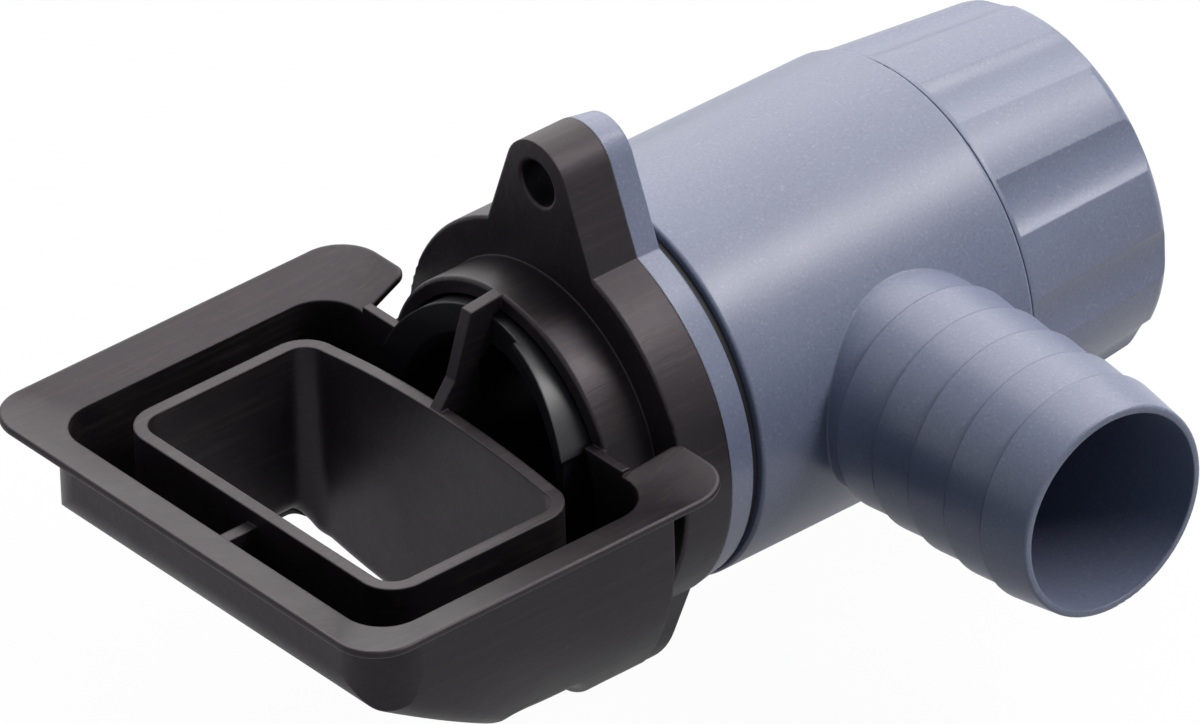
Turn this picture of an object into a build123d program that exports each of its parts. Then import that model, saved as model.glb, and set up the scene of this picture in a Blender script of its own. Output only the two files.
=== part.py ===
from build123d import *
import math
import os

# Rainwater diverter for a round downpipe. All sizes are in millimetres.
# +X runs along the main axis, away from the downpipe. +Z is up. The hose tail points to -Y.
# The origin is on the main axis, on the gasket flange's face that lies against the downpipe.

# Clearances
ring_clearance = 0.1        # between a seal and what it rubs on
slip_clearance = 0.1        # between pieces that are pushed together and stay
turn_clearance = 0.3        # between pieces that turn on each other

# Hose tail
tail_bore_radius = 15.0
tail_wall = 1.6
tail_reach = 71.2           # from the main axis to the tip
barb_height = 0.7
barb_pitch = 7.6
barb_first = 32.6           # from the main axis
barb_count = 5
nose_step = 0.5             # the tip is this much slimmer than the tail's root
nose_round = 0.45
tail_root_radius = tail_bore_radius + tail_wall
barb_radius = tail_root_radius + barb_height
nose_radius = tail_root_radius - nose_step

# Main axis stations
gasket_thickness = 8.3
plate_thickness = 4.6
swivel_gap = 1.4
port_front_room = 13.3      # from the body's front to the tail's bore
port_end_room = 6.8         # from the tail's bore to the body's end
knob_gap = 0.3
knob_length = 28.5
plate_x = gasket_thickness
plate_back_x = plate_x + plate_thickness
body_x = plate_back_x + swivel_gap
body_length = port_front_room + 2 * tail_bore_radius + port_end_room
tail_x = body_x + port_front_room + tail_bore_radius
body_end_x = body_x + body_length
knob_x = body_end_x + knob_gap
knob_end_x = knob_x + knob_length

# Tee body
body_radius = 30.0
body_wall = 3.0
body_end_wall = 3.4
body_edge_round = 0.6
body_bore_radius = body_radius - body_wall

# Gasket flange with its screw lug and rest lobe
flange_overhang = 0.3
lug_rise = 8.5              # of the screw hole over the flange's round
lug_tip_radius = 6.6
lug_hole_radius = 3.5
lobe_inset = 5.8            # of the lobe's centre under the flange's round
lobe_radius = 18.0
lug_flank_angle = 21.0      # from vertical
lobe_flank_angle = 23.0
gasket_edge_round = 0.5
plate_draft = 9.0
plate_edge_round = 0.3
flange_radius = body_radius + flange_overhang
lug_height = flange_radius + lug_rise
lobe_depth = flange_radius - lobe_inset

# Inlet bush
bush_bore_radius = 16.0
bush_wall = 5.4
bush_proud = 1.6            # of the face's middle, past the collar
bush_face_curve = 63.0      # the downpipe's inside radius, which the face follows
bush_bevel = 1.0
bush_land_width = 1.4
bush_land_height = 0.6
bush_flat_depth = 2.5
bush_flat_z = 8.0           # top of the flats at the bush's sides
bush_land_start = 108.0     # the raised land's run, counted from +Y towards +Z
bush_land_end = 270.0
bush_end_setback = 0.7      # from the plate's back face
bead_height = 0.5
bead_width = 1.2
bead_setback = 0.8
bush_radius = bush_bore_radius + bush_wall
bush_land_radius = bush_radius - bush_land_width
bush_flat_y = bush_radius - bush_flat_depth

# Collar through the downpipe's wall
collar_length = 8.0
collar_groove = 0.6         # between the bush and the collar
collar_wall = 2.4
collar_edge_round = 0.6
collar_bore_radius = bush_radius + collar_groove
collar_radius = collar_bore_radius + collar_wall
bush_face_x = -collar_length - bush_proud

# Tray
tray_length = 51.5
tray_half_width = 37.3
tray_wall = 1.5
tray_back_wall = 1.5
tray_rim_z = 8.25
tray_bottom_drop = 2.6      # of the bottom under the collar
tray_bottom_curve = 130.0
tray_belly_round = 6.0      # where the round side turns into the flat bottom
floor_break_setback = 15.5  # from the back wall to where the floor starts to rise
floor_slope = 33.0
floor_side_radius = 4.0     # between the rising floor and the sides
front_bend_radius = 6.0
back_ledge_rise = 0.85
tray_back_x = -collar_length - tray_back_wall
tray_front_x = tray_back_x - tray_length
tray_bottom_z = -collar_radius - tray_bottom_drop
floor_break_x = tray_back_x - floor_break_setback
back_ledge_z = tray_rim_z + back_ledge_rise

# Tray lip
lip_reach = 7.0
lip_gasket_gap = 0.3
lip_rise = 2.4
lip_thickness = 1.2
lip_inner_corner = 6.5
lip_outer_corner = 7.0
lip_edge_round = 0.4
lip_tip_round = 2.0
lip_cut_inner = 2.6         # the lip's slanted ends, in from the flange's round
lip_cut_outer = 0.4
lip_cut_length = 4.0        # of the cut in front of the back wall
lip_cut_height = 5.0        # of the cut, over and under the tray's rim
lip_back_x = -lip_gasket_gap
lip_cut_inner_y = flange_radius - lip_cut_inner
lip_cut_outer_y = flange_radius - lip_cut_outer

# Overflow standpipe
front_gutter = 7.0
side_gutter = 6.3
sump_length = 8.5           # between the standpipe and the back wall
stand_wall = 2.0
stand_rim_step = 0.05       # over the tray's rim
stand_corner_radius = 5.5
stand_mouth_round = 2.8
rim_crown = 1.8
stand_front_x = tray_front_x + tray_wall + front_gutter
stand_back_x = tray_back_x - sump_length
stand_half_width = tray_half_width - tray_wall - side_gutter
stand_rim_z = tray_rim_z + stand_rim_step

# Web to the collar and rib to the front wall
web_thickness = 2.0
web_knee_setback = 1.3      # behind the standpipe
web_knee_rise = 5.7         # over the standpipe's rim
web_shoulder_setback = 3.9  # in front of the tray's back wall
web_shoulder_drop = 0.6     # under the collar's top
web_rear_setback = 2.6      # in front of the bush's face
web_rear_drop = 0.6         # under the bush's bore
rib_drop = 2.25             # under the tray's rim
web_knee_x = stand_back_x + web_knee_setback
web_knee_z = stand_rim_z + web_knee_rise
web_shoulder_x = tray_back_x - web_shoulder_setback
web_shoulder_z = collar_radius - web_shoulder_drop
web_rear_x = bush_face_x - web_rear_setback
web_rear_z = bush_bore_radius - web_rear_drop
rib_top_z = tray_rim_z - rib_drop

# Swivel hub on the plate
hub_wall = 4.2
hub_length = 9.4
hub_bead_height = 0.7
hub_bead_width = 1.6
hub_bead_setback = 1.2      # from the hub's end
bush_stop_width = 0.9
bush_stop_thickness = 1.5
swivel_seal_setback = 1.2   # under the body's outside
swivel_ring_section = 1.8   # diameter of the round seal in the hub
swivel_ring_setback = 2.1   # of that seal, from the body's front face
hub_radius = body_bore_radius - turn_clearance
hub_bore_radius = hub_radius - hub_wall
bush_stop_radius = bush_radius - bush_stop_width
swivel_seal_radius = body_radius - swivel_seal_setback

# Valve barrel
barrel_wall = 2.4
barrel_front_gap = 0.4      # to the hub's end
barrel_end_gap = 0.3        # to the body's end wall
barrel_end_wall = 2.4
barrel_ring_section = 1.6
barrel_ring_setback = 1.6
shutoff_ring_gap = 0.6      # from the tail's bore to the ring around it
shutoff_ring_width = 1.3
shutoff_ring_depth = 1.2
stem_radius = 8.0
stem_neck = 2.1             # round length that shows past the body's end
stem_ring_section = 1.4
stem_square = 11.0
stem_square_round = 1.5
stem_square_length = 16.0
stop_gap = 6.0              # from the stem to the turn stop
stop_width = 4.0
stop_angle = 12.0
stop_height = 1.6
stop_margin = 1.5           # angle left at each end of the turn
valve_turn = 90.0
shutoff_ring_inner = tail_bore_radius + shutoff_ring_gap
shutoff_ring_outer = shutoff_ring_inner + shutoff_ring_width
stop_inner_radius = stem_radius + stop_gap
stop_outer_radius = stop_inner_radius + stop_width

# Knob
knob_step = 0.6             # under the body's outside
knob_rim_width = 0.7
knob_taper = 2.5
knob_end_round = 2.2
knob_crown = 0.9
knob_wall = 2.6
knob_end_wall = 2.6
flute_count = 10
flute_angle = 17.0
flute_cutter_radius = 11.0
boss_wall = 2.7
boss_gap = 0.5              # from the stem's neck to the knob's boss
knob_rib_count = 4
knob_rib_start = 45.0       # angle of the first rib
knob_rib_thickness = 1.6
knob_rib_setback = 4.0
snap_height = 0.35
snap_radius = 1.5
snap_setback = 4.0          # from the stem's tip
knob_rim_radius = body_radius - knob_step
knob_end_radius = knob_rim_radius - knob_taper
boss_radius = stem_square / math.sqrt(2) + boss_wall

overrun = 2.0               # how far a cutting shape runs past what it cuts
overlap = 0.4               # how far a joined shape runs into its neighbour
tolerance = 0.01            # within which two places count as the same

os.makedirs("parts", exist_ok=True)


def across(x):
    """The plane across the main axis at x, with local x along +Y and local y along +Z."""
    return Plane(origin=(x, 0, 0), x_dir=(0, 1, 0), z_dir=(1, 0, 0))


def lengthwise(y):
    """The upright plane along the main axis at y, with local x along +X and local y along +Z."""
    return Plane(origin=(0, y, 0), x_dir=(1, 0, 0), z_dir=(0, -1, 0))


def turned(points):
    """A closed outline of (x, radius) points, turned about the main axis."""
    with BuildPart() as solid:
        with BuildSketch(lengthwise(0)):
            with BuildLine():
                Polyline(*points, close=True)
            make_face()
        revolve(axis=Axis.X)
    return solid.part


def tube(x0, x1, inner, outer):
    """A plain ring about the main axis, from x0 to x1."""
    return turned([(x0, inner), (x1, inner), (x1, outer), (x0, outer)])


def round_ring(x, radius, section):
    """A seal of round section about the main axis, at x, on the given centre radius."""
    with BuildPart() as ring:
        with BuildSketch(lengthwise(0)):
            with Locations((x, radius)):
                Circle(section / 2)
        revolve(axis=Axis.X)
    return ring.part


def sector(x0, x1, middle, width, reach):
    """A pie slice about the main axis. Its middle angle is counted from +Y towards +Z."""
    half = math.radians(width / 2)
    centre = math.radians(middle)
    first = (reach * math.cos(centre - half), reach * math.sin(centre - half))
    last = (reach * math.cos(centre + half), reach * math.sin(centre + half))
    crest = (reach * math.cos(centre), reach * math.sin(centre))
    with BuildPart() as pie_slice:
        with BuildSketch(across(x0)):
            with BuildLine():
                Polyline(last, (0, 0), first)
                ThreePointArc(first, crest, last)
            make_face()
        extrude(amount=x1 - x0)
    return pie_slice.part


def finish(piece, name):
    """Label a piece and write its file."""
    piece.label = name
    export_step(piece, f"parts/{name}.step")


def wedge_outline(reach, radius, flank_angle, side):
    """The lug (side 1) or the lobe (side -1): an arc at `reach` and flanks that widen down to
    the main disc."""
    flank = math.radians(flank_angle)
    tip = (radius * math.cos(flank), side * (reach + radius * math.sin(flank)))
    foot_height = reach / 2
    foot = (tip[0] + (abs(tip[1]) - foot_height) * math.tan(flank), side * foot_height)
    with BuildSketch() as outline:
        with BuildLine():
            Line(foot, tip)
            ThreePointArc(tip, (0, side * (reach + radius)), (-tip[0], tip[1]))
            Line((-tip[0], tip[1]), (-foot[0], foot[1]))
            Line((-foot[0], foot[1]), foot)
        make_face()
    return outline.sketch


lug_outline = wedge_outline(lug_height, lug_tip_radius, lug_flank_angle, 1)
lobe_outline = wedge_outline(lobe_depth, lobe_radius, lobe_flank_angle, -1)

# Plate: a disc with one lug, a little drafted, and the swivel hub behind it. The hub snaps
# into the body with a round bead and carries the round seal in a groove.
hub_end_x = plate_back_x + hub_length
bush_end_x = plate_back_x - bush_end_setback
bead_x = bush_end_x - bead_setback
swivel_ring_x = body_x + swivel_ring_setback
hub_bead_x = hub_end_x - hub_bead_setback
swivel_ring_bottom = hub_radius + turn_clearance - 2 * ring_clearance - swivel_ring_section

hub_profile = tube(plate_back_x, hub_end_x, hub_bore_radius, hub_radius)
hub_bead = turned([
    (hub_bead_x, hub_radius - overlap),
    (hub_bead_x, hub_radius),
    (hub_bead_x - hub_bead_width * 0.35, hub_radius + hub_bead_height),
    (hub_bead_x - hub_bead_width * 0.75, hub_radius + hub_bead_height),
    (hub_bead_x - hub_bead_width, hub_radius),
    (hub_bead_x - hub_bead_width, hub_radius - overlap),
])
swivel_groove = tube(
    swivel_ring_x - swivel_ring_section / 2 - ring_clearance,
    swivel_ring_x + swivel_ring_section / 2 + ring_clearance,
    swivel_ring_bottom,
    hub_radius + overrun,
)
bush_stop = tube(
    bush_end_x,
    bush_end_x + bush_stop_thickness,
    bush_stop_radius,
    hub_bore_radius + overlap,
)
bead_groove = tube(
    bead_x - bead_width - slip_clearance,
    bead_x + slip_clearance,
    bush_radius - overlap,
    bush_radius + bead_height + slip_clearance,
)

with BuildPart() as flange_plate:
    with BuildSketch(across(plate_x)):
        Circle(flange_radius)
        add(lug_outline)
    extrude(amount=plate_thickness, taper=plate_draft)
    outer_edges = flange_plate.faces().sort_by(Axis.X)[-1].outer_wire().edges()
    fillet(outer_edges, plate_edge_round)
    add(hub_profile)
    add(hub_bead)
    with Locations(across(plate_x)):
        with Locations((0, 0, plate_thickness / 2)):
            Cylinder(bush_radius + slip_clearance, 2 * plate_thickness, mode=Mode.SUBTRACT)
        with Locations((0, lug_height, 0)):
            Cylinder(lug_hole_radius, 4 * plate_thickness, mode=Mode.SUBTRACT)
    add(bush_stop)
    add(swivel_groove, mode=Mode.SUBTRACT)
    add(bead_groove, mode=Mode.SUBTRACT)
finish(flange_plate.part, "flange_plate")

# Seals of the swivel: a flat one that shows in the gap and a round one in the hub's groove.
finish(
    tube(plate_back_x, body_x - ring_clearance, hub_radius + slip_clearance, swivel_seal_radius),
    "swivel_seal",
)
finish(
    round_ring(
        swivel_ring_x,
        swivel_ring_bottom + ring_clearance + swivel_ring_section / 2,
        swivel_ring_section,
    ),
    "swivel_o_ring",
)

# Inlet bush: a hard tube through the collar, the gasket and the plate, whose front face is
# hollowed to the downpipe's round. On one side the outer land of the face stands proud.
face_centre_x = bush_face_x - bush_face_curve
bush_front_x = face_centre_x + math.sqrt(bush_face_curve**2 - bush_radius**2) - bush_land_height
bush_blank_x = bush_front_x - overrun
bush_reach = bush_radius + overrun


def pipe_round(shift):
    """The downpipe's inside, moved by `shift` along the main axis, as a solid to cut with."""
    with BuildPart() as solid:
        with BuildSketch(Plane.XY.offset(-bush_reach)):
            with Locations((face_centre_x + shift, 0)):
                Circle(bush_face_curve)
        extrude(amount=2 * bush_reach)
    return solid.part


bush_bead = turned([
    (bead_x, bush_radius - overlap),
    (bead_x, bush_radius + bead_height / 5),
    (bead_x - bead_width / 2, bush_radius + bead_height),
    (bead_x - bead_width, bush_radius + bead_height),
    (bead_x - bead_width, bush_radius - overlap),
])
low_face_run = 360 - (bush_land_end - bush_land_start)
low_face_middle = bush_land_start - low_face_run / 2
with BuildPart() as low_face:
    add(tube(bush_blank_x, bush_end_x, bush_bore_radius / 2, bush_land_radius))
    add(sector(bush_blank_x, bush_face_x + overlap, low_face_middle, low_face_run, bush_reach))
    add(pipe_round(0), mode=Mode.INTERSECT)

with BuildPart() as inlet_bush:
    add(tube(bush_blank_x, bush_end_x, bush_bore_radius, bush_radius))
    add(pipe_round(-bush_land_height), mode=Mode.SUBTRACT)
    add(low_face.part, mode=Mode.SUBTRACT)
    with BuildSketch(across(bush_blank_x)):
        for side in (-1, 1):
            with Locations((side * (bush_flat_y + bush_flat_depth), bush_flat_z - bush_reach)):
                Rectangle(2 * bush_flat_depth, 2 * bush_reach)
    extrude(amount=-collar_length - bush_blank_x, mode=Mode.SUBTRACT)
    add(bush_bead)
    bore_edges = (
        inlet_bush.edges()
        .filter_by(lambda edge: abs(edge.bounding_box().max.Z - bush_bore_radius) < tolerance)
        .filter_by(lambda edge: edge.bounding_box().max.X < 0)
    )
    chamfer(bore_edges, bush_bevel)
finish(inlet_bush.part, "inlet_bush")

# Collector tray: upright sides, a belly that is round about the main axis, a nearly flat
# bottom, and a floor that rises towards the front.
belly_centre_z = tray_bottom_z + tray_bottom_curve
slope_rise = math.tan(math.radians(floor_slope))


def tray_block(inset, back, top):
    """The tray's outside (inset 0) or its hollow (inset by the wall), filled up to `top`."""
    front = tray_front_x + inset
    radius = tray_half_width - inset
    bottom_curve = tray_bottom_curve - inset
    corner_z = (radius**2 - bottom_curve**2 + belly_centre_z**2) / (2 * belly_centre_z)
    corner_y = math.sqrt(radius**2 - corner_z**2)
    half_angle = math.atan2(-corner_z, corner_y) / 2
    belly = (radius * math.cos(half_angle), -radius * math.sin(half_angle))
    floor_lift = inset / math.cos(math.radians(floor_slope))
    front_z = tray_bottom_z + floor_lift + (floor_break_x - front) * slope_rise
    low_z = tray_bottom_z - overrun
    low_x = floor_break_x + (tray_bottom_z + floor_lift - low_z) / slope_rise
    corner = lip_inner_corner + tray_wall - inset
    with BuildPart() as block:
        with BuildSketch(across(front)):
            with BuildLine():
                Polyline((-radius, 0), (-radius, top), (radius, top), (radius, 0))
                ThreePointArc((radius, 0), belly, (corner_y, corner_z))
                ThreePointArc(
                    (corner_y, corner_z),
                    (0, belly_centre_z - bottom_curve),
                    (-corner_y, corner_z),
                )
                ThreePointArc((-corner_y, corner_z), (-belly[0], belly[1]), (-radius, 0))
            make_face()
        extrude(amount=back - front)
        belly_edges = block.edges().filter_by(Axis.X).group_by(Axis.Z)[0]
        fillet(belly_edges, tray_belly_round - inset)
        with BuildSketch(lengthwise(0)) as side_view:
            with BuildLine():
                Polyline(
                    (front, top),
                    (front, front_z),
                    (low_x, low_z),
                    (back, low_z),
                    (back, top),
                    close=True,
                )
            make_face()
            front_bend = side_view.vertices().group_by(Axis.X)[0].sort_by(Axis.Y)[0]
            fillet(front_bend, front_bend_radius - inset)
        extrude(amount=2 * radius, both=True, mode=Mode.INTERSECT)
        floor_sides = (
            block.edges()
            .filter_by(GeomType.ELLIPSE)
            .filter_by(lambda edge: edge.bounding_box().max.X < floor_break_x)
        )
        fillet(floor_sides, floor_side_radius - inset)
        with BuildSketch(Plane.XY.offset(low_z)) as plan:
            with Locations(((front + back) / 2, 0)):
                Rectangle(back - front, 2 * radius)
            round_corners = plan.vertices() if inset else plan.vertices().group_by(Axis.X)[0]
            fillet(round_corners, corner)
        extrude(amount=top - low_z, mode=Mode.INTERSECT)
    return block.part


def lip_block(thickness):
    """Everything under the lip's top, or with a thickness everything under its underside."""
    inner_front = tray_front_x + tray_wall
    outer_front = inner_front - lip_reach
    inner_back = tray_back_x
    inner_half = tray_half_width - tray_wall
    low = tray_rim_z - thickness
    with BuildPart() as block:
        with BuildSketch(Plane.XY.offset(low)):
            with Locations(((inner_front + inner_back) / 2, 0)):
                RectangleRounded(inner_back - inner_front, 2 * inner_half, lip_inner_corner)
        with BuildSketch(Plane.XY.offset(low + lip_rise)):
            with Locations(((outer_front + lip_back_x) / 2, 0)):
                RectangleRounded(
                    lip_back_x - outer_front,
                    2 * (inner_half + lip_reach),
                    lip_outer_corner,
                )
        loft(ruled=True)
        if thickness:
            extrude(block.faces().sort_by(Axis.Z)[-1], amount=thickness)
    return block.part


stand_top = stand_rim_z + rim_crown
tray_outer = tray_block(0, -collar_length, tray_rim_z)
tray_hollow = tray_block(tray_wall, tray_back_x, stand_top + overrun)
lip_over = lip_block(0)
lip_under = lip_block(lip_thickness)

# The lip's two ends at the back are cut on a slant that clears the gasket's round.
with BuildPart() as lip_gap:
    with BuildSketch(Plane.XY.offset(tray_rim_z - lip_cut_height)):
        with BuildLine():
            Polyline(
                (tray_back_x - lip_cut_length, -lip_cut_inner_y),
                (tray_back_x, -lip_cut_inner_y),
                (overrun, -lip_cut_outer_y),
                (overrun, lip_cut_outer_y),
                (tray_back_x, lip_cut_inner_y),
                (tray_back_x - lip_cut_length, lip_cut_inner_y),
                close=True,
            )
        make_face()
    extrude(amount=2 * lip_cut_height)

# The standpipe: a rounded box whose back wall is crowned. Its wall runs down to the tray's
# outside, so that its bore is open below.
stand_length = stand_back_x - stand_front_x
stand_middle_x = (stand_back_x + stand_front_x) / 2
crown_half = stand_half_width - stand_corner_radius


def stand_box(low):
    """The standpipe from `low` up to its rim, without its bore."""
    with BuildPart() as box:
        with BuildSketch(Plane.XY.offset(low)):
            with Locations((stand_middle_x, 0)):
                RectangleRounded(stand_length, 2 * stand_half_width, stand_corner_radius)
        extrude(amount=stand_rim_z - low)
        with BuildSketch(across(stand_back_x - stand_wall)):
            with BuildLine():
                ThreePointArc((-crown_half, stand_rim_z), (0, stand_top), (crown_half, stand_rim_z))
                Line((crown_half, stand_rim_z), (-crown_half, stand_rim_z))
            make_face()
        extrude(amount=stand_wall)
    return box.part


with BuildPart() as stand_bore:
    with BuildSketch(Plane.XY.offset(tray_bottom_z - overrun)):
        with Locations((stand_middle_x, 0)):
            RectangleRounded(
                stand_length - 2 * stand_wall,
                2 * (stand_half_width - stand_wall),
                stand_corner_radius - stand_wall,
            )
    extrude(amount=stand_top - tray_bottom_z + 2 * overrun)

with BuildPart() as web:
    with BuildSketch(lengthwise(0)):
        with BuildLine():
            Polyline(
                (stand_back_x - stand_wall, stand_top - overlap),
                (web_knee_x, web_knee_z),
                (web_shoulder_x, web_shoulder_z),
                (-collar_length + overlap, collar_radius),
                (-collar_length + overlap, collar_bore_radius + overlap),
                (bush_face_x - slip_clearance, bush_radius + slip_clearance),
                (bush_face_x - slip_clearance, bush_bore_radius + bush_bevel),
                (web_rear_x, web_rear_z),
                (web_rear_x, tray_bottom_z + tray_wall / 2),
                (stand_back_x - stand_wall / 2, tray_bottom_z + tray_wall / 2),
                (stand_back_x - stand_wall / 2, stand_rim_z),
                close=True,
            )
        make_face()
    extrude(amount=web_thickness / 2, both=True)

with BuildPart() as front_rib:
    with BuildSketch(lengthwise(0)):
        with BuildLine():
            Polyline(
                (tray_front_x + tray_wall / 2, rib_top_z),
                (stand_front_x + stand_wall / 2, rib_top_z),
                (stand_front_x + stand_wall / 2, tray_bottom_z),
                (tray_front_x + tray_wall / 2, tray_bottom_z),
                close=True,
            )
        make_face()
    extrude(amount=web_thickness / 2, both=True)

# The room for the water: the tray's hollow without the standpipe and the rib.
with BuildPart() as gutter:
    add(tray_hollow)
    add(stand_box(tray_bottom_z - overrun), mode=Mode.SUBTRACT)
    add(front_rib.part, mode=Mode.SUBTRACT)

with BuildPart() as collector:
    add(tray_outer)
    add(lip_under)
    add(lip_over, mode=Mode.SUBTRACT)
    add(lip_gap.part, mode=Mode.SUBTRACT)
    add(tray_outer)
    with BuildSketch(across(tray_back_x)):
        Rectangle(2 * (lip_cut_inner_y + overlap), 2 * back_ledge_z)
    extrude(amount=-collar_length - tray_back_x)
    with BuildSketch(across(-collar_length)):
        Circle(collar_radius)
    extrude(amount=collar_length + overlap)
    with BuildSketch(across(0)):
        Circle(flange_radius)
        add(lug_outline)
        add(lobe_outline)
    extrude(amount=gasket_thickness)
    add(gutter.part, mode=Mode.SUBTRACT)
    add(stand_box(tray_rim_z - overlap))
    add(stand_bore.part, mode=Mode.SUBTRACT)
    add(web.part)
    add(tube(tray_back_x, overlap, 0, collar_bore_radius), mode=Mode.SUBTRACT)
    add(
        tube(-overlap, gasket_thickness + overrun, 0, bush_radius + slip_clearance),
        mode=Mode.SUBTRACT,
    )
    with Locations(across(0)):
        with Locations((0, lug_height, 0)):
            Cylinder(lug_hole_radius, 4 * gasket_thickness, mode=Mode.SUBTRACT)

    bore_front = stand_front_x + stand_wall
    bore_back = stand_back_x - stand_wall
    bore_half = stand_half_width - stand_wall
    mouth_edges = (
        collector.edges()
        .filter_by_position(Axis.X, bore_front - tolerance, bore_back + tolerance)
        .filter_by_position(Axis.Y, -bore_half - tolerance, bore_half + tolerance)
        .filter_by(lambda edge: edge.bounding_box().max.Z < 0)
        .filter_by(lambda edge: edge.bounding_box().min.X > bore_front - tolerance)
        .filter_by(lambda edge: edge.bounding_box().max.X < bore_back + tolerance)
        .filter_by(lambda edge: abs(edge.bounding_box().min.Y) < bore_half + tolerance)
        .filter_by(lambda edge: abs(edge.bounding_box().max.Y) < bore_half + tolerance)
    )
    fillet(mouth_edges, stand_mouth_round)
    rim_limit = (collar_radius + flange_radius) / 2
    face_edges = (
        collector.edges()
        .filter_by(lambda edge: abs(edge.bounding_box().min.X) < tolerance)
        .filter_by(lambda edge: abs(edge.bounding_box().max.X) < tolerance)
        .filter_by(lambda edge: edge.length > bush_radius)
        .filter_by(lambda edge: math.hypot(edge.position_at(0).Y, edge.position_at(0).Z) > rim_limit)
    )
    fillet(face_edges, gasket_edge_round)
    collar_edges = (
        collector.edges()
        .filter_by(GeomType.CIRCLE)
        .filter_by(lambda edge: abs(edge.bounding_box().max.X + collar_length) < tolerance)
        .filter_by(lambda edge: abs(edge.bounding_box().min.X + collar_length) < tolerance)
        .filter_by(lambda edge: edge.bounding_box().max.Z > collar_radius - collar_edge_round)
    )
    fillet(collar_edges, collar_edge_round)
    lip_tips = (
        collector.edges()
        .filter_by(lambda edge: abs(edge.bounding_box().max.X - lip_back_x) < tolerance)
        .filter_by(lambda edge: edge.length < 2 * lip_thickness)
    )
    fillet(lip_tips, lip_tip_round)
    lip_edges = (
        collector.edges()
        .filter_by(lambda edge: edge.bounding_box().min.X < tray_front_x - lip_reach / 2)
    )
    fillet(lip_edges, lip_edge_round)
finish(collector.part, "collector")

# Tee body: a barrel with a closed end and the barbed hose tail, in one moulding.
end_wall_x = body_end_x - body_end_wall
stem_ring_x = (end_wall_x + body_end_x) / 2
bead_room = turn_clearance
tail_axis = Axis((tail_x, 0, 0), (0, -1, 0))

body_cavity = turned([
    (body_x - overrun, 0),
    (end_wall_x, 0),
    (end_wall_x, body_bore_radius),
    (hub_bead_x + bead_room, body_bore_radius),
    (hub_bead_x + bead_room, hub_radius + hub_bead_height + turn_clearance),
    (hub_bead_x - hub_bead_width - bead_room, hub_radius + hub_bead_height + turn_clearance),
    (hub_bead_x - hub_bead_width - bead_room, body_bore_radius),
    (body_x - overrun, body_bore_radius),
])
stop_rest_angle = -valve_turn / 2


def stop_piece(x0, x1, middle, width, clearance):
    """A piece of a ring that limits the valve's turn, or the groove that it runs in."""
    with BuildPart() as piece:
        add(sector(x0, x1, middle, width, stop_outer_radius + clearance))
        add(
            tube(x0 - overrun, x1 + overrun, 0, stop_inner_radius - clearance),
            mode=Mode.SUBTRACT,
        )
    return piece.part


with BuildPart() as body:
    with BuildSketch(across(body_x)):
        Circle(body_radius)
    extrude(amount=body_length)
    body_rims = body.edges().filter_by(GeomType.CIRCLE)
    fillet(body_rims, body_edge_round)
    with BuildSketch(Plane.XY):
        with BuildLine():
            root_x = tail_x + tail_root_radius
            outline = [(tail_x, 0), (root_x, 0), (root_x, -barb_first)]
            for index in range(barb_count):
                crest_y = -barb_first - index * barb_pitch
                outline.append((tail_x + barb_radius, crest_y))
                if index < barb_count - 1:
                    outline.append((root_x, crest_y - barb_pitch))
            outline.append((tail_x + nose_radius, -tail_reach))
            outline.append((tail_x, -tail_reach))
            Polyline(*outline, close=True)
        make_face()
    revolve(axis=tail_axis)
    nose_edge = body.edges().filter_by(GeomType.CIRCLE).sort_by(Axis.Y)[0]
    fillet(nose_edge, nose_round)
    add(body_cavity, mode=Mode.SUBTRACT)
    add(
        tube(end_wall_x - overrun, body_end_x + overrun, 0, stem_radius + turn_clearance),
        mode=Mode.SUBTRACT,
    )
    with BuildSketch(lengthwise(0)):
        with Locations((tail_x, 0)):
            Circle(tail_bore_radius)
    extrude(amount=tail_reach + overrun, mode=Mode.SUBTRACT)
    add(
        stop_piece(
            end_wall_x - overlap,
            end_wall_x + stop_height,
            stop_rest_angle + valve_turn / 2,
            valve_turn + stop_angle + 2 * stop_margin,
            turn_clearance,
        ),
        mode=Mode.SUBTRACT,
    )
finish(body.part, "body")

# Valve barrel: open to the inlet, closed at the knob's end, with a round window that meets the
# hose tail's bore. A ring seal of saddle form lies a quarter turn away and covers the bore's
# edge when the valve is shut.
barrel_radius = body_bore_radius - turn_clearance
barrel_x = hub_end_x + barrel_front_gap
barrel_end_x = end_wall_x - barrel_end_gap
barrel_ring_x = barrel_x + barrel_ring_setback
barrel_ring_centre = body_bore_radius - ring_clearance - barrel_ring_section / 2
barrel_ring_bottom = barrel_ring_centre - barrel_ring_section / 2 - ring_clearance
stem_ring_centre = stem_radius + turn_clearance - ring_clearance - stem_ring_section / 2
stem_ring_bottom = stem_ring_centre - stem_ring_section / 2 - ring_clearance
neck_end_x = body_end_x + stem_neck
stem_end_x = neck_end_x + stem_square_length
snap_x = stem_end_x - snap_setback


def saddle(inner, outer, low, high):
    """A ring about the upright through the hose tail's station, kept between two radii."""
    with BuildPart() as ring:
        with BuildSketch(Plane.XY):
            with Locations((tail_x, 0)):
                Circle(outer)
                Circle(inner, mode=Mode.SUBTRACT)
        extrude(amount=body_radius)
        add(tube(barrel_x, barrel_end_x, low, high), mode=Mode.INTERSECT)
    return ring.part


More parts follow.
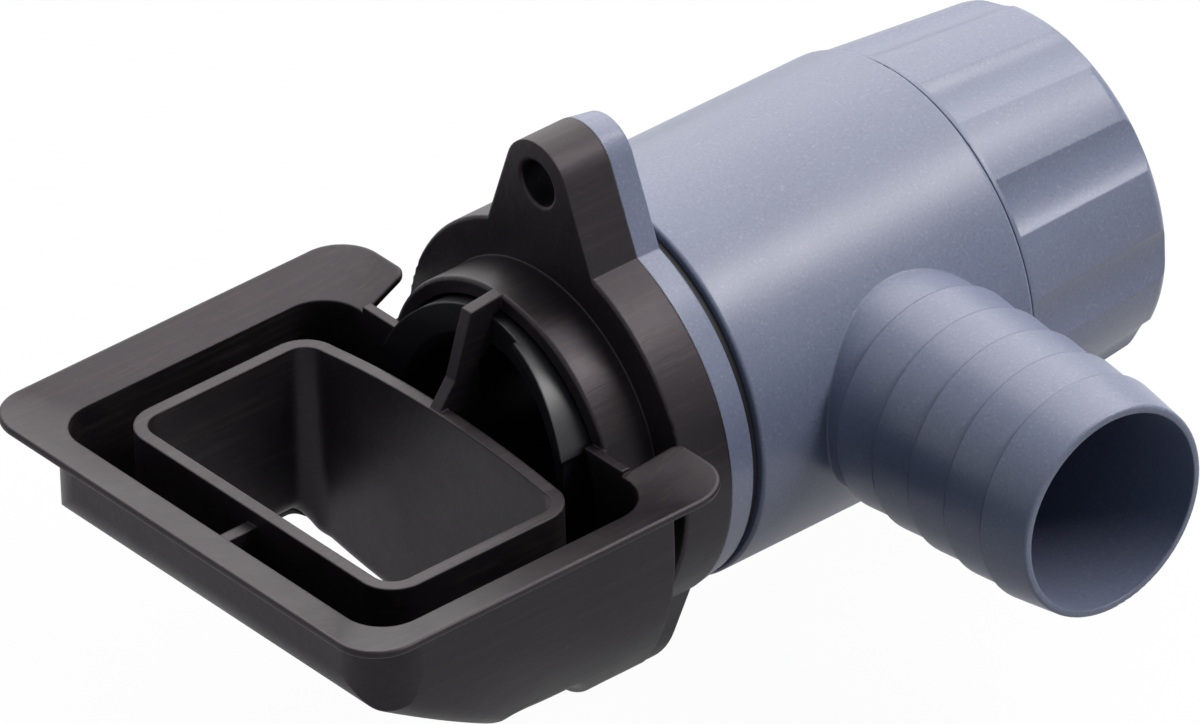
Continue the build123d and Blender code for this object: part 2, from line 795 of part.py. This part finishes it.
with BuildPart() as valve_barrel:
    add(turned([
        (barrel_x, barrel_radius - barrel_wall),
        (barrel_end_x - barrel_end_wall, barrel_radius - barrel_wall),
        (barrel_end_x - barrel_end_wall, 0),
        (neck_end_x, 0),
        (neck_end_x, stem_radius),
        (barrel_end_x, stem_radius),
        (barrel_end_x, barrel_radius),
        (barrel_x, barrel_radius),
    ]))
    with BuildSketch(across(neck_end_x)):
        RectangleRounded(stem_square, stem_square, stem_square_round)
    extrude(amount=stem_square_length)
    add(stop_piece(barrel_end_x, barrel_end_x + stop_height, stop_rest_angle, stop_angle, 0))
    with BuildSketch(lengthwise(0)):
        with Locations((tail_x, 0)):
            Circle(tail_bore_radius)
    extrude(amount=body_radius, mode=Mode.SUBTRACT)
    ring_half = barrel_ring_section / 2 + ring_clearance
    stem_half = stem_ring_section / 2 + ring_clearance
    add(
        tube(barrel_ring_x - ring_half, barrel_ring_x + ring_half, barrel_ring_bottom, body_radius),
        mode=Mode.SUBTRACT,
    )
    add(
        tube(stem_ring_x - stem_half, stem_ring_x + stem_half, stem_ring_bottom, body_radius),
        mode=Mode.SUBTRACT,
    )
    add(
        saddle(
            shutoff_ring_inner - slip_clearance,
            shutoff_ring_outer + slip_clearance,
            barrel_radius - shutoff_ring_depth,
            body_radius,
        ),
        mode=Mode.SUBTRACT,
    )
    with Locations(Plane(origin=(snap_x, 0, 0), z_dir=(0, 1, 0))):
        with Locations(
            (0, 0, stem_square / 2),
            (0, 0, -stem_square / 2),
        ):
            Cylinder(snap_radius, 2 * (snap_height + slip_clearance), mode=Mode.SUBTRACT)
finish(valve_barrel.part, "valve_barrel")

finish(
    saddle(
        shutoff_ring_inner,
        shutoff_ring_outer,
        barrel_radius - shutoff_ring_depth + slip_clearance,
        body_bore_radius - ring_clearance,
    ),
    "shutoff_seal",
)
finish(round_ring(barrel_ring_x, barrel_ring_centre, barrel_ring_section), "barrel_o_ring")
finish(round_ring(stem_ring_x, stem_ring_centre, stem_ring_section), "stem_o_ring")

# Knob: a fluted cup with a square-socketed boss that snaps on the barrel's stem.
knob_face_x = knob_end_x - knob_crown
flute_x = knob_x + knob_rim_width
half_flute = math.radians(flute_angle / 2)


def flute_offset(radius):
    """How far from the main axis a flute's cutter runs, where the knob has this radius."""
    half_width = radius * math.sin(half_flute)
    return radius * math.cos(half_flute) + math.sqrt(flute_cutter_radius**2 - half_width**2)


flute_depth = knob_rim_radius - (flute_offset(knob_rim_radius) - flute_cutter_radius)
cavity_front_radius = knob_rim_radius - flute_depth - knob_wall
cavity_back_radius = knob_end_radius - flute_depth - knob_wall
cavity_end_x = knob_face_x - knob_end_wall
cavity_corner = knob_end_round
flute_start = flute_offset(knob_rim_radius)
flute_slope = (flute_offset(knob_end_radius) - flute_start) / (knob_face_x - flute_x)
flute_stop_x = knob_end_x + overrun
flute_stop = flute_start + flute_slope * (flute_stop_x - flute_x)


def flute_cutter(angle):
    """The round that cuts one flute, from the knob's rim to past its end."""
    with BuildPart() as cutter:
        for x, offset in ((flute_x, flute_start), (flute_stop_x, flute_stop)):
            with BuildSketch(across(x)):
                with Locations((offset * math.cos(angle), offset * math.sin(angle))):
                    Circle(flute_cutter_radius)
        loft()
    return cutter.part


with BuildPart() as knob:
    with BuildSketch(lengthwise(0)) as knob_section:
        with BuildLine():
            Polyline(
                (knob_face_x, knob_end_radius),
                (flute_x, knob_rim_radius),
                (knob_x, knob_rim_radius),
                (knob_x, 0),
                (knob_end_x, 0),
            )
            crown_z = knob_end_radius / 2
            ThreePointArc(
                (knob_end_x, 0),
                (knob_end_x - knob_crown / 4, crown_z),
                (knob_face_x, knob_end_radius),
            )
        make_face()
        end_corner = knob_section.vertices().sort_by(Axis.X)[-2:].sort_by(Axis.Y)[-1]
        fillet(end_corner, knob_end_round)
    revolve(axis=Axis.X)
    for index in range(flute_count):
        add(flute_cutter(math.radians(index * 360 / flute_count)), mode=Mode.SUBTRACT)
    add(
        turned([
            (knob_x - overrun, 0),
            (knob_x - overrun, cavity_front_radius),
            (cavity_end_x - cavity_corner, cavity_back_radius),
            (cavity_end_x, cavity_back_radius - cavity_corner),
            (cavity_end_x, 0),
        ]),
        mode=Mode.SUBTRACT,
    )
    with BuildSketch(across(neck_end_x + boss_gap)):
        Circle(boss_radius)
    extrude(amount=cavity_end_x + overlap - neck_end_x - boss_gap)
    for index in range(knob_rib_count):
        angle = knob_rib_start + index * 360 / knob_rib_count
        rib_normal = Vector(0, -1, 0).rotate(Axis.X, angle)
        with BuildSketch(Plane(origin=(0, 0, 0), x_dir=(1, 0, 0), z_dir=rib_normal)):
            with BuildLine():
                Polyline(
                    (knob_x + knob_rib_setback, boss_radius - overlap),
                    (knob_x + knob_rib_setback, cavity_front_radius),
                    (cavity_end_x - cavity_corner, cavity_back_radius + overlap),
                    (cavity_end_x + overlap, cavity_back_radius - cavity_corner),
                    (cavity_end_x + overlap, boss_radius - overlap),
                    close=True,
                )
            make_face()
        extrude(amount=knob_rib_thickness / 2, both=True)
    with BuildSketch(across(neck_end_x + boss_gap)):
        RectangleRounded(
            stem_square + 2 * slip_clearance,
            stem_square + 2 * slip_clearance,
            stem_square_round,
        )
    extrude(amount=stem_square_length, mode=Mode.SUBTRACT)
    with Locations(Plane(origin=(snap_x, 0, 0), z_dir=(0, 1, 0))):
        with Locations(
            (0, 0, stem_square / 2 + slip_clearance),
            (0, 0, -stem_square / 2 - slip_clearance),
        ):
            Cylinder(snap_radius - slip_clearance, 2 * snap_height)
finish(knob.part, "knob")
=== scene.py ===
"""Rainwater diverter for a downpipe: materials, floor, lights and camera round the CAD part.

Metres throughout, unless a name or comment says millimetres. +X runs along the main axis away
from the downpipe, +Z is up.
"""

import math

import bpy
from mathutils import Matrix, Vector


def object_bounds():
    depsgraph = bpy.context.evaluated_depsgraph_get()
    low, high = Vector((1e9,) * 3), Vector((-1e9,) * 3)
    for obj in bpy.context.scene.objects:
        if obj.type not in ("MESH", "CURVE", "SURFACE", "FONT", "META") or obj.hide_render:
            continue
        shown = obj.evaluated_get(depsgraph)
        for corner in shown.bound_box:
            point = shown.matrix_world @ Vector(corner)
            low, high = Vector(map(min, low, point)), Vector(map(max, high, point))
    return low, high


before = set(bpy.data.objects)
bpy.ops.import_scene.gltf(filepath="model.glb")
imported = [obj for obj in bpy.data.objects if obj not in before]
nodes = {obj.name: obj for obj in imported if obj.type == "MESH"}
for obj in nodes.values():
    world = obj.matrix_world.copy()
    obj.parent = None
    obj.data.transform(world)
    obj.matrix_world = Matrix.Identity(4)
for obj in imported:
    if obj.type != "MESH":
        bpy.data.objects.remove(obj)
cad_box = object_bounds()
millimetre = 0.001

# Camera, as the photograph's
camera_azimuth = math.radians(-38.98)
camera_elevation = math.radians(33.38)
camera_roll = math.radians(-2.02)
camera_place = Vector((-1.43488, -1.78566, 1.51828))
camera_lens = 591.9             # on the default 36 mm sensor width

# Lights
world_strength = 0.16           # of the even light on rough surfaces
world_colour = (0.62, 0.78, 1.0, 1)
key_power = 20.5                # large and soft, from above, behind and to the right
key_size = (1.5, 1.5)
key_place = Vector((0.72, 0.55, 1.14))
key_colour = (1.0, 0.965, 0.95)
strip_power = 9.0               # narrow, whose reflection is the bright band along the barrel
strip_size = (0.9, 0.16)
strip_place = Vector((0.60, -0.50, 0.85))
strip_colour = (1.0, 0.97, 0.96)
back_power = 3.0                # low behind, for the bright upper edge of the barrel
back_size = (1.3, 0.6)
back_place = Vector((0.75, 1.20, 0.30))
back_colour = (1.0, 0.99, 1.0)

# Floor
white = (1, 1, 1, 1)
floor_size = 12.0
floor_plain = 0.97              # how much of the floor is plain white to the camera
floor_mirrored = 0.45           # the same in reflections, where the floor keeps more shading
floor_seen = (0.80, 0.80, 0.80, 1)      # the shaded rest, to the camera and in reflections
floor_bounce = (0.20, 0.21, 0.24, 1)    # to rough surfaces, so that it lights the object less

# Surfaces. Colours are sRGB of 0 to 255, noise is in cells to the metre, and edges and bumps
# are in millimetres.
edge_round = 0.45
edge_samples = 6

plastic_dark = (110, 117, 140)          # the two tones that slow noise mixes
plastic_light = (118, 125, 147)
plastic_pale_grain = (158, 164, 182)
plastic_deep_grain = (84, 91, 114)
plastic_grain_share = 0.45
plastic_clouds = 38
plastic_grain = 2200
plastic_bump = 0.014
plastic_roughness = (0.30, 0.38)        # lowest and highest
plastic_gloss = 0.5

rubber_dark = (21, 18, 21)
rubber_light = (30, 26, 29)
rubber_scuffed = (98, 91, 92)
rubber_scuff_share = 0.35
rubber_streaked = (84, 74, 72)
rubber_streak_share = 0.22
rubber_clouds = 55
rubber_grain = 1500
rubber_streaks = 1000
rubber_waves = 240
streak_stretch = (0.06, 1.0, 1.0)       # long along the main axis
streak_bump = 0.03
wave_bump = 0.06
rubber_bump = 0.012
rubber_roughness = (0.36, 0.48)
rubber_gloss = 0.32
rubber_sheen = (1.0, 0.90, 0.97, 1)     # tint of the rubber's reflections

bush_black = (30, 30, 35)
bush_scuffed = (92, 90, 96)
bush_scuff_share = 0.3
bush_grain = 1900
bush_bump = 0.01
bush_roughness = 0.36
bush_gloss = 0.45

seal_black = (22, 22, 26)
seal_roughness = 0.55
seal_gloss = 0.3


def linear(colour):
    """An sRGB colour of 0 to 255 as a linear colour for a shader."""
    parts = []
    for value in colour:
        share = value / 255
        parts.append(share / 12.92 if share <= 0.04045 else ((share + 0.055) / 1.055) ** 2.4)
    return (*parts, 1)


class Nodes:
    """A material's node tree, with short calls to add and join nodes."""

    def __init__(self, name):
        self.material = bpy.data.materials.new(name)
        self.material.use_nodes = True
        self.tree = self.material.node_tree
        self.shader = self.tree.nodes["Principled BSDF"]
        self.place = self.add("ShaderNodeTexCoord").outputs["Object"]

    def add(self, kind, **settings):
        node = self.tree.nodes.new(kind)
        for key, value in settings.items():
            setattr(node, key, value)
        return node

    def join(self, source, target):
        self.tree.links.new(source, target)

    def noise(self, scale, detail=2.0, roughness=0.5, stretch=None):
        """Noise of `scale` cells to the metre, from 0 to 1."""
        node = self.add("ShaderNodeTexNoise")
        node.inputs["Scale"].default_value = scale
        node.inputs["Detail"].default_value = detail
        node.inputs["Roughness"].default_value = roughness
        source = self.place
        if stretch:
            squeeze = self.add("ShaderNodeMapping")
            squeeze.inputs["Scale"].default_value = stretch
            self.join(source, squeeze.inputs["Vector"])
            source = squeeze.outputs["Vector"]
        self.join(source, node.inputs["Vector"])
        return node.outputs["Fac"]

    def spread(self, value, low, high, to_low=0.0, to_high=1.0):
        """`value` between low and high, mapped to between to_low and to_high, and held there."""
        node = self.add("ShaderNodeMapRange", clamp=True)
        node.inputs["From Min"].default_value = low
        node.inputs["From Max"].default_value = high
        node.inputs["To Min"].default_value = to_low
        node.inputs["To Max"].default_value = to_high
        self.join(value, node.inputs["Value"])
        return node.outputs["Result"]

    def math(self, operation, first, second):
        """Arithmetic on two values, each a number or a socket."""
        node = self.add("ShaderNodeMath", operation=operation)
        for socket, value in zip(node.inputs, (first, second)):
            if isinstance(value, (int, float)):
                socket.default_value = value
            else:
                self.join(value, socket)
        return node.outputs["Value"]

    def mix(self, share, first, second):
        """A colour `share` of the way from first to second."""
        node = self.add("ShaderNodeMix", data_type="RGBA")
        sockets = [socket for socket in node.inputs if socket.type == "RGBA"]
        self.join(share, node.inputs["Factor"])
        for socket, value in zip(sockets, (first, second)):
            if isinstance(value, tuple):
                socket.default_value = value
            else:
                self.join(value, socket)
        return next(socket for socket in node.outputs if socket.type == "RGBA")

    def soft_edges(self, radius):
        """A normal that rounds the edges by a radius in millimetres."""
        node = self.add("ShaderNodeBevel", samples=edge_samples)
        node.inputs["Radius"].default_value = radius * millimetre
        return node.outputs["Normal"]

    def bumps(self, height, distance, base):
        """A bump of `distance` millimetres by `height`, on top of the normal `base`."""
        node = self.add("ShaderNodeBump")
        node.inputs["Strength"].default_value = 1.0
        node.inputs["Distance"].default_value = distance * millimetre
        self.join(height, node.inputs["Height"])
        self.join(base, node.inputs["Normal"])
        return node.outputs["Normal"]


def grey_plastic():
    """The blue-grey moulding of the plate, the body and the valve: satin with a fine grain."""
    made = Nodes("grey_plastic")
    shader = made.shader
    grain = made.noise(plastic_grain, detail=3, roughness=0.65)
    cloud = made.noise(plastic_clouds, detail=3)
    tint = made.mix(
        made.spread(cloud, 0.3, 0.7),
        linear(plastic_dark),
        linear(plastic_light),
    )
    pale = made.math("MULTIPLY", made.spread(grain, 0.56, 0.74), plastic_grain_share)
    deep = made.math("MULTIPLY", made.spread(grain, 0.44, 0.28), plastic_grain_share)
    colour = made.mix(pale, tint, linear(plastic_pale_grain))
    colour = made.mix(deep, colour, linear(plastic_deep_grain))
    made.join(colour, shader.inputs["Base Color"])
    made.join(made.spread(cloud, 0.3, 0.7, *plastic_roughness), shader.inputs["Roughness"])
    shader.inputs["Specular IOR Level"].default_value = plastic_gloss
    fine = made.bumps(grain, plastic_bump, made.soft_edges(edge_round))
    made.join(fine, shader.inputs["Normal"])
    return made.material


def black_rubber():
    """The collector's soft black moulding: satin, a little scuffed, with fine streaks."""
    made = Nodes("black_rubber")
    shader = made.shader
    grain = made.noise(rubber_grain, detail=4, roughness=0.65)
    cloud = made.noise(rubber_clouds, detail=4, roughness=0.6)
    streak = made.noise(rubber_streaks, detail=3, roughness=0.7, stretch=streak_stretch)
    tint = made.mix(
        made.spread(cloud, 0.35, 0.7),
        linear(rubber_dark),
        linear(rubber_light),
    )
    scuff = made.math("MULTIPLY", made.spread(grain, 0.63, 0.80), rubber_scuff_share)
    colour = made.mix(scuff, tint, linear(rubber_scuffed))
    rubbed = made.math("MULTIPLY", made.spread(streak, 0.50, 0.75), rubber_streak_share)
    colour = made.mix(rubbed, colour, linear(rubber_streaked))
    made.join(colour, shader.inputs["Base Color"])
    made.join(made.spread(cloud, 0.3, 0.7, *rubber_roughness), shader.inputs["Roughness"])
    shader.inputs["Specular IOR Level"].default_value = rubber_gloss
    shader.inputs["Specular Tint"].default_value = rubber_sheen
    streaked = made.bumps(streak, streak_bump, made.soft_edges(edge_round))
    wavy = made.bumps(made.noise(rubber_waves, detail=2), wave_bump, streaked)
    fine = made.bumps(grain, rubber_bump, wavy)
    made.join(fine, shader.inputs["Normal"])
    return made.material


def black_plastic():
    """The inlet bush: a harder, smoother black than the rubber."""
    made = Nodes("black_plastic")
    shader = made.shader
    grain = made.noise(bush_grain, detail=3, roughness=0.6)
    scuff = made.math("MULTIPLY", made.spread(grain, 0.62, 0.80), bush_scuff_share)
    colour = made.mix(scuff, linear(bush_black), linear(bush_scuffed))
    made.join(colour, shader.inputs["Base Color"])
    shader.inputs["Roughness"].default_value = bush_roughness
    shader.inputs["Specular IOR Level"].default_value = bush_gloss
    fine = made.bumps(grain, bush_bump, made.soft_edges(edge_round))
    made.join(fine, shader.inputs["Normal"])
    return made.material


def seal_rubber():
    """The seals: plain matt black."""
    made = Nodes("seal_rubber")
    made.shader.inputs["Base Color"].default_value = linear(seal_black)
    made.shader.inputs["Roughness"].default_value = seal_roughness
    made.shader.inputs["Specular IOR Level"].default_value = seal_gloss
    return made.material


def add_floor():
    """A plain white floor under the object that keeps a faint shadow."""
    made = Nodes("floor_white")
    paths = made.add("ShaderNodeLightPath")
    seen = made.math("MAXIMUM", paths.outputs["Is Camera Ray"], paths.outputs["Is Glossy Ray"])
    seen = made.math("MAXIMUM", seen, paths.outputs["Is Transmission Ray"])
    mirrored = made.math("MULTIPLY", seen, floor_mirrored)
    plain = made.math("MULTIPLY", paths.outputs["Is Camera Ray"], floor_plain)
    share = made.math("MAXIMUM", mirrored, plain)
    glow = made.add("ShaderNodeEmission")
    glow.inputs["Color"].default_value = white
    made.join(made.mix(seen, floor_bounce, floor_seen), made.shader.inputs["Base Color"])
    made.shader.inputs["Roughness"].default_value = 1.0
    made.shader.inputs["Specular IOR Level"].default_value = 0.0
    both = made.add("ShaderNodeMixShader")
    made.join(share, both.inputs["Fac"])
    made.join(made.shader.outputs["BSDF"], both.inputs[1])
    made.join(glow.outputs["Emission"], both.inputs[2])
    made.join(both.outputs["Shader"], made.tree.nodes["Material Output"].inputs["Surface"])
    bpy.ops.mesh.primitive_plane_add(size=floor_size, location=(0, 0, cad_box[0][2]))
    floor = bpy.context.object
    floor.name = "floor"
    floor.data.materials.append(made.material)


def add_world():
    """White as seen by the camera and in reflections, and a soft bluish light on rough faces."""
    world = bpy.data.worlds.new("studio")
    bpy.context.scene.world = world
    world.use_nodes = True
    tree = world.node_tree
    background = tree.nodes["Background"]
    background.inputs["Color"].default_value = world_colour
    background.inputs["Strength"].default_value = world_strength
    backdrop = tree.nodes.new("ShaderNodeBackground")
    backdrop.inputs["Color"].default_value = white
    paths = tree.nodes.new("ShaderNodeLightPath")
    seen = paths.outputs["Is Camera Ray"]
    for name in ("Is Glossy Ray", "Is Transmission Ray"):
        either = tree.nodes.new("ShaderNodeMath")
        either.operation = "MAXIMUM"
        tree.links.new(seen, either.inputs[0])
        tree.links.new(paths.outputs[name], either.inputs[1])
        seen = either.outputs["Value"]
    both = tree.nodes.new("ShaderNodeMixShader")
    tree.links.new(seen, both.inputs["Fac"])
    tree.links.new(background.outputs["Background"], both.inputs[1])
    tree.links.new(backdrop.outputs["Background"], both.inputs[2])
    tree.links.new(both.outputs["Shader"], tree.nodes["World Output"].inputs["Surface"])


def add_softbox(name, place, size, power, colour):
    """A rectangular soft light that faces the object, with its first size level."""
    lamp = bpy.data.lights.new(name, "AREA")
    lamp.shape = "RECTANGLE"
    lamp.size, lamp.size_y = size
    lamp.energy = power
    lamp.color = colour
    box = bpy.data.objects.new(name, lamp)
    bpy.context.scene.collection.objects.link(box)
    box.location = place
    box.rotation_euler = (-place).to_track_quat("-Z", "Y").to_euler()


def add_camera():
    """The photograph's camera: azimuth 0 looks along +Y, and a positive roll leans it left."""
    level = Vector((math.cos(camera_azimuth), math.sin(camera_azimuth), 0))
    back = Vector((
        math.sin(camera_azimuth) * math.cos(camera_elevation),
        -math.cos(camera_azimuth) * math.cos(camera_elevation),
        math.sin(camera_elevation),
    ))
    upright = back.cross(level)
    right = level * math.cos(camera_roll) + upright * math.sin(camera_roll)
    up = upright * math.cos(camera_roll) - level * math.sin(camera_roll)
    data = bpy.data.cameras.new("camera")
    data.lens = camera_lens
    camera = bpy.data.objects.new("camera", data)
    bpy.context.scene.collection.objects.link(camera)
    turn = camera.matrix_world.to_3x3()
    for column, direction in enumerate((right, up, back)):
        turn.col[column] = direction
    camera.matrix_world = turn.to_4x4()
    camera.location = camera_place
    bpy.context.scene.camera = camera


def finish_with(material, *names):
    """These CAD nodes take this material."""
    for name in names:
        for slot in nodes[name].material_slots:
            slot.material = material


bpy.context.scene.view_settings.view_transform = "Standard"
finish_with(grey_plastic(), "flange_plate", "body", "valve_barrel", "knob")
finish_with(black_rubber(), "collector")
finish_with(black_plastic(), "inlet_bush")
finish_with(
    seal_rubber(),
    "swivel_seal",
    "swivel_o_ring",
    "shutoff_seal",
    "barrel_o_ring",
    "stem_o_ring",
)
add_floor()
add_world()
add_softbox("key", key_place, key_size, key_power, key_colour)
add_softbox("strip", strip_place, strip_size, strip_power, strip_colour)
add_softbox("back", back_place, back_size, back_power, back_colour)
add_camera()
